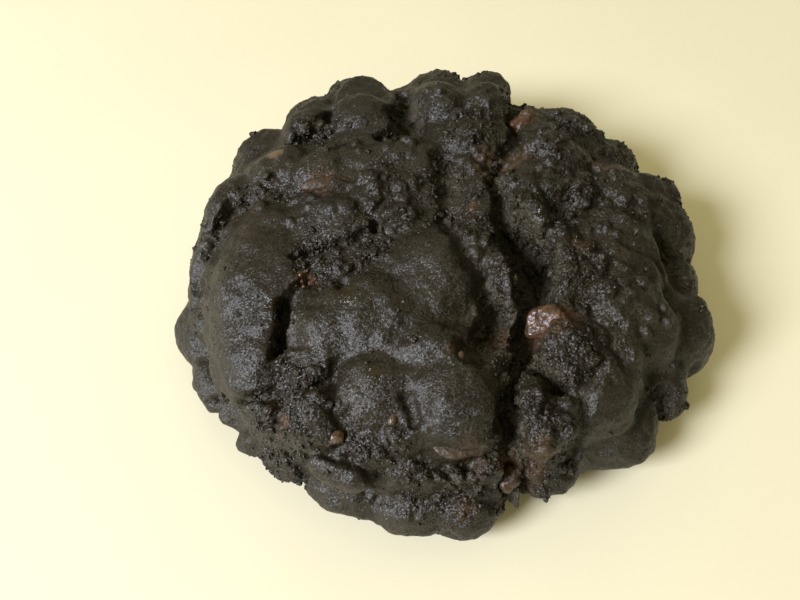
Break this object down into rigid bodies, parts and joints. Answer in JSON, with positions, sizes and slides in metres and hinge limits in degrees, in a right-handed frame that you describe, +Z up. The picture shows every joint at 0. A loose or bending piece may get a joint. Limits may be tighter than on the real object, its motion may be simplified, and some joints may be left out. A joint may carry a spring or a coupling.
{
  "type": "chocolate raspberry cookie",
  "caption": "Thick, dark, home-baked chocolate cookie with a lumpy domed top, deep splits and pieces of chocolate and raspberry, flat underneath.",
  "frame": {"origin": "middle of the flat underside, on the table", "axes": "+Z up through the dome; the main split runs nearly along Y, on the +X side of the middle, and the side that faces the camera is -Y"},
  "size_m": [0.1026, 0.1018, 0.0312],
  "materials": {
    "dough": "nearly black baked cocoa dough, dull with a fine oily glint",
    "raspberry": "baked raspberry, copper brown and moist",
    "chocolate": "set chocolate, brown with a soft gloss"
  },
  "bodies": {
    "root": {"cookie": "dough", "raspberry_middle": "raspberry", "raspberry_top": "raspberry", "raspberry_front": "raspberry", "chip_upper_left": "chocolate", "chip_ridge": "chocolate", "chip_front": "chocolate", "chip_front_right": "chocolate"}
  },
  "joints": []
}
